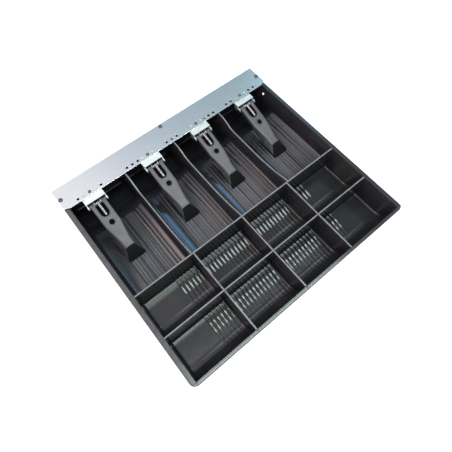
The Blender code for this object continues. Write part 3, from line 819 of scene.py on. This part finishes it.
def arm_plastic():
    """Dark moulded plastic, painted lighter on its upper faces and darker on its sides as light from
    above would fall, with a satin spark-eroded texture.
    """
    paint = Paint("arm_plastic_grey")
    cloud = paint.noise(70, 4, rough=0.6)
    light = paint.ramp(cloud, (0.3, (0.066, 0.061, 0.067)), (0.72, (0.1, 0.092, 0.102)))
    dark = paint.ramp(cloud, (0.3, (0.028, 0.028, 0.03)), (0.72, (0.045, 0.044, 0.046)))
    # Painted light: the upper faces take the lighter tone and the sides the darker one, as if lit from
    # above.
    paint.colour(paint.mix(paint.painted_top_light(0.5, 0.9), dark, light))
    paint.roughness(paint.ramp(paint.noise(140, 4), (0.3, 0.38), (0.7, 0.52)))
    grain = paint.cells(1800)
    paint.bump(grain, 0.03 * MM, 0.5)
    return paint.material


def foot_rubber():
    """Dull black rubber, dusty in patches."""
    paint = Paint("foot_rubber_black", specular=0.12)
    dust = paint.noise(320, 5, rough=0.7)
    paint.colour(paint.ramp(dust, (0.35, (0.004, 0.004, 0.0045)), (0.8, (0.011, 0.011, 0.011))))
    paint.roughness(paint.ramp(dust, (0.3, 0.7), (0.7, 0.9)))
    paint.bump(paint.noise(1400, 3), 0.08 * MM, 0.6)
    return paint.material


def floor_white():
    """Plain pale studio floor with a hardly visible unevenness."""
    paint = Paint("floor_white", specular=0.1)
    paint.colour(paint.ramp(paint.noise(3, 2), (0.3, (0.9, 0.9, 0.9)), (0.7, (0.92, 0.92, 0.92))))
    paint.shader.inputs["Roughness"].default_value = 0.9
    paint.shader.inputs["Emission Color"].default_value = (1, 1, 1, 1)
    paint.shader.inputs["Emission Strength"].default_value = 0.35
    return paint.material


# ---- the clip bar and what holds it ----


def outline_piece(name, loops, low, high, bevel):
    """A plate from flat outlines, with small rounded edges on its faces and holes."""
    curve = bpy.data.curves.new(name, "CURVE")
    curve.dimensions = "2D"
    curve.fill_mode = "BOTH"
    curve.extrude = (high - low) / 2 - bevel
    curve.bevel_depth = bevel
    curve.bevel_resolution = 1
    curve.offset = -bevel
    for loop in loops:
        spline = curve.splines.new("POLY")
        spline.points.add(len(loop) - 1)
        spline.use_cyclic_u = True
        for point, (u, v) in zip(spline.points, loop):
            point.co = (u, v, 0, 1)
    drawn = linked(name, curve)
    mesh = evaluated_mesh(drawn)
    bpy.data.objects.remove(drawn, do_unlink=True)
    shape = bmesh.new()
    shape.from_mesh(mesh)
    bmesh.ops.remove_doubles(shape, verts=shape.verts, dist=0.002 * MM)
    bmesh.ops.translate(shape, vec=(0, 0, (low + high) / 2), verts=shape.verts)
    return shape


def full_turn(steps):
    return [2 * math.pi * i / steps for i in range(steps)]


def circle(centre, radius, steps=24):
    turn = full_turn(steps)
    return [(centre[0] + radius * math.cos(a), centre[1] + radius * math.sin(a)) for a in turn]


HOLE_Y = 129 * MM
HOLE_PITCH = 9.2
HOLE_RADIUS = 2.0 * MM
HOLE_GROUPS = (-149.9, -131.5, -69.9, -43.4, 0.0, 45.2, 69.7, 132.4, 150.6)
HOLE_PAIR = (104.6, 113.8)
HOLE_APART = 4.08
BAR_CUT = (9 * MM, 4 * MM)
BAR_EDGE = 0.15 * MM
SCREW_HOLE = 1.85 * MM
SCREW_SHANK = 1.5 * MM
SCREW_TIP = (0.5 * MM, 1.2 * MM)
RECESS = Vector((3.2, 0.62, 2.2)) * MM
RECESS_TURN = 0.4
RECESS_TAPER = 0.6
HEAD_GAP = 0.05 * MM
RIVET_SHANK = 1.3 * MM
RIVET_TAIL = (2.1 * MM, 0.8 * MM)
RIVET_TAIL_LOW = (1.9 * MM, 0.2 * MM)
RIVET_TAIL_END = 1.2 * MM


def bar_holes():
    """Outlines of the small holes; one that would touch its neighbour is left out."""
    places = {x + step * HOLE_PITCH for x in HOLE_GROUPS for step in (-1, 0, 1)} | set(HOLE_PAIR)
    apart = []
    for x in sorted(places):
        if not apart or x - apart[-1] > HOLE_APART:
            apart.append(x)
    return [circle((x * MM, HOLE_Y), HOLE_RADIUS) for x in apart]


def shade_level_faces_flat(piece):
    """Keeps the long faces of a plate from picking up the rounding of its edges."""
    for polygon in piece.data.polygons:
        polygon.use_smooth = abs(polygon.normal.z) < 0.999


def make_bar(material):
    front, rear = BAR_LOW.y, BAR_HIGH.y
    cut_x, cut_y = BAR_CUT
    half = BAR_HIGH.x
    edge = [
        (-half, rear),
        (-half, front + cut_y),
        (-half + cut_x, front),
        (half - cut_x, front),
        (half, front + cut_y),
        (half, rear),
    ]
    holes = bar_holes()
    holes += [circle((place.x, place.y), SCREW_HOLE) for place in SCREWS.values()]
    shape = outline_piece("bar_plate", [edge, *holes], BAR_LOW.z, BAR_HIGH.z, BAR_EDGE)
    bar = mesh_piece("bar_plate", shape, material, 40)
    shade_level_faces_flat(bar)
    settle(bar, "tray", "bar_zinc", "clip_bar")


def turned_shape(profile, centre, steps=32):
    """A bmesh of (radius, height) points turned round Z, closed at both ends."""
    shape = bmesh.new()
    rings = []
    for radius, height in profile:
        if radius == 0:
            rings.append([shape.verts.new((centre.x, centre.y, height))])
            continue
        rings.append([shape.verts.new((x, y, height)) for x, y in circle(centre, radius, steps)])
    for upper, lower in zip(rings, rings[1:]):
        for i in range(steps):
            j = (i + 1) % steps
            corners = [upper[i % len(upper)], lower[i % len(lower)]]
            corners += [lower[j % len(lower)], upper[j % len(upper)]]
            shape.faces.new(list(dict.fromkeys(corners)))
    face_out(shape)
    return shape


def dome(radius, height, base, steps=7):
    turn = [math.pi / 2 * i / steps for i in range(steps + 1)]
    return [(radius * math.sin(a), base + height * math.cos(a)) for a in turn]


def make_screw(side, place, material):
    """A pan-head screw with a cross recess."""
    low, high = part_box(f"bar_screw_{side}")
    radius = (high.x - low.x) / 2
    base = BAR_HIGH.z + HEAD_GAP
    tip, tip_height = SCREW_TIP
    profile = dome(radius, high.z - base, base)
    profile += [(SCREW_SHANK, base), (SCREW_SHANK, low.z + tip_height), (tip, low.z), (0, low.z)]
    screw = mesh_piece(f"bar_screw_head_{side}", turned_shape(profile, place), material)
    for turn in (0, math.pi / 2):
        centre = Vector((place.x, place.y, high.z + 0.3 * MM))
        shape = box_shape(centre, RECESS, turn + RECESS_TURN, "Z")
        for vert in shape.verts:
            if vert.co.z < centre.z:
                vert.co.xy = place.xy + (vert.co.xy - place.xy) * RECESS_TAPER
        cut_with(screw, shaped("recess", shape))
    dress(screw.data, material)
    settle(screw, "tray", "fastener_steel", f"bar_screw_{side}")


def make_rivet(i, place, material):
    low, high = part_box(f"bracket_rivet_{i}")
    radius = (high.x - low.x) / 2
    base = BAR_HIGH.z + HEAD_GAP
    profile = dome(radius, high.z - base, base)
    tail = low.z + RIVET_TAIL[1]
    profile += [(RIVET_SHANK, base), (RIVET_SHANK, tail), (RIVET_TAIL[0], tail)]
    profile += [(RIVET_TAIL_LOW[0], low.z + RIVET_TAIL_LOW[1]), (RIVET_TAIL_END, low.z), (0, low.z)]
    rivet = mesh_piece(f"rivet_{i}", turned_shape(profile, place, 28), material)
    settle(rivet, "tray", "fastener_steel", f"bracket_rivet_{i}")


# ---- the note clips ----

SLOPE = math.radians(17.1)
ALONG = Vector((0.0, -math.cos(SLOPE), -math.sin(SLOPE)))
ABOVE = Vector((0.0, -math.sin(SLOPE), math.cos(SLOPE)))
SHEET = 1.7 * MM
PLATE_HEIGHT = 3.1 * MM
ARM_HALF = 12.35 * MM
NECK_HALF = 6.8 * MM
SHOULDER = 36 * MM
NECK_START = 65 * MM
NECK_END = 75 * MM
HEM_HALF = 12.5 * MM
HEM_START = Vector((0, -0.9, -3.1)) * MM
HEM_END = Vector((0, -84.5, -31.1)) * MM
SLOT_HALF = 6.25 * MM
SLOT_END = 23 * MM
HOLE_AT = 33.4 * MM
ARM_HOLE = 3.8 * MM
ARM_ROUND = 2.4 * MM
ARM_STEPS = (0, 6, 14, 24, 30, 36, 40, 44, 48, 52, 56, 60, 64, 65, 70, 75)
HEM_TURN = 64
ARM_EDGE = 0.3 * MM
SLOT_RIM_GAP = 0.75 * MM
SLOT_RIM = 0.45 * MM
HOLE_RIM_AT = 4.2 * MM
HOLE_RIM = 0.4 * MM
BARREL_X = (6.25 * MM, 13.9 * MM)
FOOT_HALF = 13.5 * MM
FOOT_BULGE = 0.8 * MM
FOOT_THICK = (2.3 * MM, 0.9 * MM)
FOOT_BACK = 0.35 * MM
FOOT_EDGE = 0.9 * MM
FOOT_TOOTH = 0.55 * MM
FOOT_SOLE_LIFT = 0.9 * MM
FOOT_SOLE_TOOTH = 0.75 * MM
TOOTH_TURN = math.pi * 8


def on_arm(along, above=0.0, x=0.0):
    return ALONG * along + ABOVE * above + Vector((x, 0, 0))


def hem(along):
    """The arm's lower edge below a point of its top plate."""
    top = on_arm(along, PLATE_HEIGHT)
    slope = (HEM_END - HEM_START) / (HEM_END - HEM_START).y
    drop = (top - HEM_START) - slope * (top - HEM_START).y
    depth = drop.z / (ABOVE.z - slope.z * ABOVE.y)
    return top - ABOVE * depth


def arm_half_width(along):
    share = min(max((along - SHOULDER) / (NECK_START - SHOULDER), 0), 1)
    return ARM_HALF + (NECK_HALF - ARM_HALF) * share


def arm_section(along, low):
    """Outer surface across the arm, from the left hem over the top plate to the right hem."""
    half = arm_half_width(along)
    top = on_arm(along, PLATE_HEIGHT)
    corner = top + Vector((half, 0, 0))
    foot = low + Vector((HEM_HALF, 0, 0))
    skirt = (foot - corner).normalized()
    length = (foot - corner).length
    bend = min(ARM_ROUND, length * 0.4)
    start = corner - Vector((bend, 0, 0))
    end = corner + skirt * bend
    right = [top + Vector((half * 0.45, 0, 0))]
    for i in range(6):
        t = i / 5
        right.append(start * (1 - t) ** 2 + corner * 2 * t * (1 - t) + end * t**2)
    right += [corner.lerp(foot, 0.62), corner.lerp(foot, 0.93), foot]
    left = [Vector((-p.x, p.y, p.z)) for p in reversed(right)]
    return [*left, top, *right]


def join_rings(shape, near, far):
    for k in range(len(near)):
        j = (k + 1) % len(near)
        shape.faces.new((near[k], near[j], far[j], far[k]))


def tube(shape, path, radius, steps=8, closed=False):
    """A round tube along a path of points, added to a bmesh."""
    count = len(path)
    rings = []
    side = None
    for i, point in enumerate(path):
        ahead = path[(i + 1) % count] if closed else path[min(i + 1, count - 1)]
        behind = path[(i - 1) % count] if closed else path[max(i - 1, 0)]
        way = (ahead - behind).normalized()
        if side is None:
            side = way.orthogonal().normalized()
        side = (side - way * side.dot(way)).normalized()
        other = way.cross(side)
        around = [(side * math.cos(a) + other * math.sin(a)) * radius for a in full_turn(steps)]
        rings.append([shape.verts.new(point + out) for out in around])
    pairs = list(zip(rings, rings[1:]))
    if closed:
        pairs.append((rings[-1], rings[0]))
    for near, far in pairs:
        join_rings(shape, near, far)
    if not closed:
        shape.faces.new(reversed(rings[0]))
        shape.faces.new(rings[-1])


def slot_path(half, end, start, above):
    """The U line round the slot, from one side of its open end to the other."""
    turn = [math.pi * i / 14 for i in range(15)]
    bend = [(end - half + half * math.sin(a), half * math.cos(a)) for a in turn]
    line = [(start, half), *bend, (start, -half)]
    return [on_arm(along, above, x) for along, x in line]


def arm_cutters():
    """The slot and the round hole through the top plate."""
    shape = bmesh.new()
    path = slot_path(SLOT_HALF, SLOT_END, -6.2 * MM, 0)
    low, high = ABOVE * -9 * MM, ABOVE * 9 * MM
    lower = [shape.verts.new(p + low) for p in path]
    upper = [shape.verts.new(p + high) for p in path]
    shape.faces.new(lower)
    shape.faces.new(upper)
    join_rings(shape, lower, upper)
    face_out(shape)
    hole = bmesh.new()
    turn = Vector((0, 0, 1)).rotation_difference(ABOVE)
    matrix = Matrix.LocRotScale(on_arm(HOLE_AT, PLATE_HEIGHT), turn, None)
    bmesh.ops.create_cone(
        hole, cap_ends=True, segments=28, radius1=ARM_HOLE, radius2=ARM_HOLE, depth=8 * MM, matrix=matrix
    )
    return [shaped("slot", shape), shaped("hole", hole)]


def arm_shell():
    """The hood as one sheet, thickened inwards."""
    shape = bmesh.new()
    rings = []
    for step in ARM_STEPS:
        along = step * MM
        low = hem(along)
        if step == 0:
            low = HEM_START
        if step >= HEM_TURN:
            low = hem(HEM_TURN * MM).lerp(HEM_END, (step - HEM_TURN) / (ARM_STEPS[-1] - HEM_TURN))
        rings.append([shape.verts.new(p) for p in arm_section(along, low)])
    for near, far in zip(rings, rings[1:]):
        for i in range(len(near) - 1):
            shape.faces.new((near[i], far[i], far[i + 1], near[i + 1]))
    face_out(shape)
    middle = rings[5][len(rings[5]) // 2].link_faces[0]
    if middle.normal.dot(ABOVE) < 0:
        bmesh.ops.reverse_faces(shape, faces=shape.faces)
    arm = shaped("arm", shape)
    solid = arm.modifiers.new("sheet", "SOLIDIFY")
    solid.thickness = SHEET
    solid.offset = -1
    solid.use_even_offset = True
    bake(arm)
    return arm


def arm_mesh(material):
    """The hood with its slot, hole, rounded edges, raised rims and barrel."""
    arm = arm_shell()
    for cutter in arm_cutters():
        cut_with(arm, cutter)
    soften_edges(arm, ARM_EDGE, 2, 50)
    bake(arm)
    shape = bmesh.new()
    shape.from_mesh(arm.data)
    height = PLATE_HEIGHT - 0.02 * MM
    rim = slot_path(SLOT_HALF + SLOT_RIM_GAP, SLOT_END + SLOT_RIM_GAP, 5 * MM, height)
    tube(shape, rim, SLOT_RIM)
    ring = [on_arm(along, height, x) for along, x in circle((HOLE_AT, 0), HOLE_RIM_AT, 28)]
    tube(shape, ring, HOLE_RIM, closed=True)
    for side in (-1, 1):
        barrel = [Vector((side * x, 0, 0)) for x in BARREL_X]
        tube(shape, barrel, PLATE_HEIGHT, 24)
    face_out(shape)
    mesh = mesh_from("arm_hood", shape)
    bpy.data.objects.remove(arm, do_unlink=True)
    dress(mesh, material, 38)
    return mesh


def place_mesh(name, mesh, i, body, slot, *replaced):
    """A copy of a clip's mesh moved to clip i, in the row frame."""
    own = mesh.copy()
    own.name = name
    own.transform(Matrix.Translation(PIVOTS[i]))
    settle(linked(name, own), body, slot, *replaced)


def foot_mesh(material):
    """A flared foot with a hollow back, a bulging face and a toothed sole."""
    corner = on_arm(NECK_END, PLATE_HEIGHT)
    face = (HEM_END - corner).normalized()
    proud = Vector((0, face.z, -face.y))
    sole = NOTE_FLOOR + FOOT_SOLE_LIFT - PIVOTS[1].z
    length = (sole - corner.z) / face.z
    columns, rows = 28, 9
    shape = bmesh.new()
    front, back = [], []
    for r in range(rows + 1):
        v = r / rows
        half = NECK_HALF + (FOOT_HALF - NECK_HALF) * (v * 0.75 + v * v * 0.25)
        bulge = FOOT_BULGE * math.sin(math.pi * min(v * 1.1, 1))
        thick_here = FOOT_THICK[0] + bulge + FOOT_THICK[1] * v
        tooth_here = FOOT_TOOTH * float(smoothstep(np.float64((v - 0.5) * 2)))
        front_row, back_row = [], []
        for c in range(columns + 1):
            u = -1 + 2 * c / columns
            x = u * half
            round_edge = FOOT_EDGE * max(0, abs(u) - 0.82) / 0.18
            tooth = tooth_here * (0.5 + 0.5 * math.cos(u * TOOTH_TURN))
            base = corner + face * (length * v) + Vector((x, 0, 0))
            thick = thick_here - round_edge + tooth
            lift = Vector((0, 0, 0))
            if r == rows:
                lift = Vector((0, 0, FOOT_SOLE_TOOTH * (0.5 - 0.5 * math.cos(u * TOOTH_TURN))))
            front_row.append(shape.verts.new(base + proud * thick + lift))
            back_row.append(shape.verts.new(base + proud * FOOT_BACK + lift))
        front.append(front_row)
        back.append(back_row)
    for r in range(rows):
        for c in range(columns):
            shape.faces.new((front[r][c], front[r + 1][c], front[r + 1][c + 1], front[r][c + 1]))
            shape.faces.new((back[r][c], back[r][c + 1], back[r + 1][c + 1], back[r + 1][c]))
    for c in range(columns):
        shape.faces.new((front[0][c], front[0][c + 1], back[0][c + 1], back[0][c]))
        shape.faces.new((front[rows][c], back[rows][c], back[rows][c + 1], front[rows][c + 1]))
    for r in range(rows):
        shape.faces.new((front[r][0], back[r][0], back[r + 1][0], front[r + 1][0]))
        shape.faces.new((front[r][-1], front[r + 1][-1], back[r + 1][-1], back[r][-1]))
    face_out(shape)
    mesh = mesh_from("foot", shape)
    dress(mesh, material, 45)
    return mesh


WIRE = 0.6 * MM
COIL = 2.9 * MM
COIL_X = (0.75 * MM, 5.2 * MM)
TAIL = Vector((0, 10, 4.2)) * MM
REACH = 21 * MM
COIL_TURNS = 2
COIL_START = math.radians(82)
LEG_GAP = 0.3 * MM


def on_coil(turn, x):
    return Vector((x, -COIL * math.cos(turn), COIL * math.sin(turn)))


def spring_path():
    """Tail under the bar, coil round the pin and leg down the slot, for the +X half."""
    start = COIL_START
    end = math.pi / 2 - SLOPE - COIL_TURNS * 2 * math.pi
    path = [TAIL + Vector((COIL_X[1], 0, 0))]
    first = on_coil(start, COIL_X[1])
    path.append(path[0].lerp(first, 0.5))
    count = COIL_TURNS * 28
    for k in range(count + 1):
        share = k / count
        turn = start + (end - start) * share
        x = COIL_X[1] + (COIL_X[0] - COIL_X[1]) * share
        path.append(on_coil(turn, x))
    height = PLATE_HEIGHT + WIRE + LEG_GAP
    path.append(on_arm(REACH * 0.5, height, COIL_X[0]))
    for k in range(8):
        a = math.pi / 2 * k / 7
        along = REACH - COIL_X[0] + COIL_X[0] * math.sin(a)
        path.append(on_arm(along, height, COIL_X[0] * math.cos(a)))
    return path


def make_spring(i, material):
    """The two halves of a double torsion spring, each wound between the tray and the clip."""
    for side, name in ((1, "right"), (-1, "left")):
        path = [Vector((side * p.x, p.y, p.z)) + PIVOTS[i] for p in spring_path()]
        shape = bmesh.new()
        tube(shape, path, WIRE, 10)
        face_out(shape)
        spring = mesh_piece(f"spring_{i}_{name}", shape, material, 60)
        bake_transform(spring)
        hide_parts(f"torsion_spring_{i}")


def finish_node(name, material, bevel=None):
    """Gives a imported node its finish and, where asked, softened edges."""
    node = nodes[name]
    for place in node.material_slots:
        place.material = material
    if bevel:
        soften_edges(node, bevel, 3, 40).harden_normals = True


# ---- light, floor and camera ----

WORLD_STOPS = (
    (0.0, (1.25, 1.2, 1.24)),
    (0.12, (0.78, 0.8, 0.9)),
    (0.3, (0.45, 0.57, 0.66)),
    (0.5, (0.34, 0.47, 0.48)),
)
WORLD_STRENGTH = 0.95
FLOOR_HALF = 6
FLOOR_DROP = 0.2 * MM
CAMERA_PLACE = (-0.1528, -0.1778, 0.5143)
CAMERA_TURN = (23.2, -0.51, -39.42)
CAMERA_LENS = 29.24


def soft_light(name, place, size, radiance, colour):
    """A level rectangular softbox of an even brightness, facing down."""
    data = bpy.data.lights.new(name, "AREA")
    data.shape = "RECTANGLE"
    data.size, data.size_y = size
    data.energy = math.pi * size[0] * size[1] * radiance
    data.color = colour
    light = bpy.data.objects.new(name, data)
    light.location = place
    light.visible_camera = False
    bpy.context.scene.collection.objects.link(light)


def make_world():
    """Surroundings that go from bright at the far left to a dim grey-teal in the right half."""
    world = bpy.data.worlds.new("studio")
    bpy.context.scene.world = world
    world.use_nodes = True
    tree = world.node_tree
    place = tree.nodes.new("ShaderNodeTexCoord").outputs["Generated"]
    split = tree.nodes.new("ShaderNodeSeparateXYZ")
    tree.links.new(place, split.inputs[0])
    ramp = tree.nodes.new("ShaderNodeValToRGB")
    tree.links.new(split.outputs["X"], ramp.inputs["Fac"])
    elements = ramp.color_ramp.elements
    while len(elements) < len(WORLD_STOPS):
        elements.new(0.5)
    for element, (share, colour) in zip(elements, WORLD_STOPS):
        element.position = share
        element.color = (*colour, 1)
    back = tree.nodes["Background"]
    tree.links.new(ramp.outputs["Color"], back.inputs["Color"])
    back.inputs["Strength"].default_value = WORLD_STRENGTH


def make_floor(material):
    shape = bmesh.new()
    bmesh.ops.create_grid(shape, x_segments=8, y_segments=8, size=FLOOR_HALF)
    floor = mesh_piece("studio_floor", shape, material)
    floor.location.z = -FLOOR_DROP


def make_camera():
    data = bpy.data.cameras.new("camera")
    data.lens = CAMERA_LENS
    data.sensor_width = 36
    camera = bpy.data.objects.new("camera", data)
    camera.location = CAMERA_PLACE
    camera.rotation_euler = [math.radians(a) for a in CAMERA_TURN]
    bpy.context.scene.collection.objects.link(camera)
    bpy.context.scene.camera = camera


# ---- everything together ----

make_camera()
make_world()
make_floor(floor_white())
soft_light("overhead_mint", (0.17, -0.265, 1.5), (1.1, 0.3), 14.0, (0.84, 1.0, 0.93))
soft_light("rear_blue", (0.1, 0.56, 1.5), (0.4, 0.24), 4.0, (0.7, 0.84, 1.0))
soft_light("rear_mauve", (0.68, 0.54, 1.5), (0.72, 0.22), 3.3, (1.0, 0.87, 0.88))
soft_light("low_right_blue", (1.42, 0.74, 1.2), (0.5, 0.5), 6.0, (0.28, 0.56, 1.0))
soft_light("low_left_pink", (-1.0, 0.5, 1.2), (0.7, 0.5), 5.0, (1.0, 0.72, 0.68))
bpy.context.scene.view_settings.view_transform = "Standard"

make_tray(tray_plastic())
make_bar(zinc_bar())
FASTENER = steel("fastener_steel_zinc", 0.06, 0.15, 0.24)
for side_name, screw_place in SCREWS.items():
    make_screw(side_name, screw_place, FASTENER)
BRACKET = bracket_zinc()
SPRING = steel("spring_steel_wire", 0.42, 0.6, 0.24)
ARM = arm_mesh(arm_plastic())
RUBBER = foot_mesh(foot_rubber())
for clip in CLIPS:
    make_rivet(clip, RIVETS[clip], FASTENER)
    finish_node(f"clip_bracket_{clip}", BRACKET, 0.35 * MM)
    finish_node(f"pivot_pin_{clip}", FASTENER)
    place_mesh(f"arm_hood_{clip}", ARM, clip, f"clip_{clip}", "arm_plastic", f"clip_arm_{clip}")
    place_mesh(f"foot_{clip}", RUBBER, clip, f"clip_{clip}", "foot_rubber", f"rubber_foot_{clip}")
    make_spring(clip, SPRING)
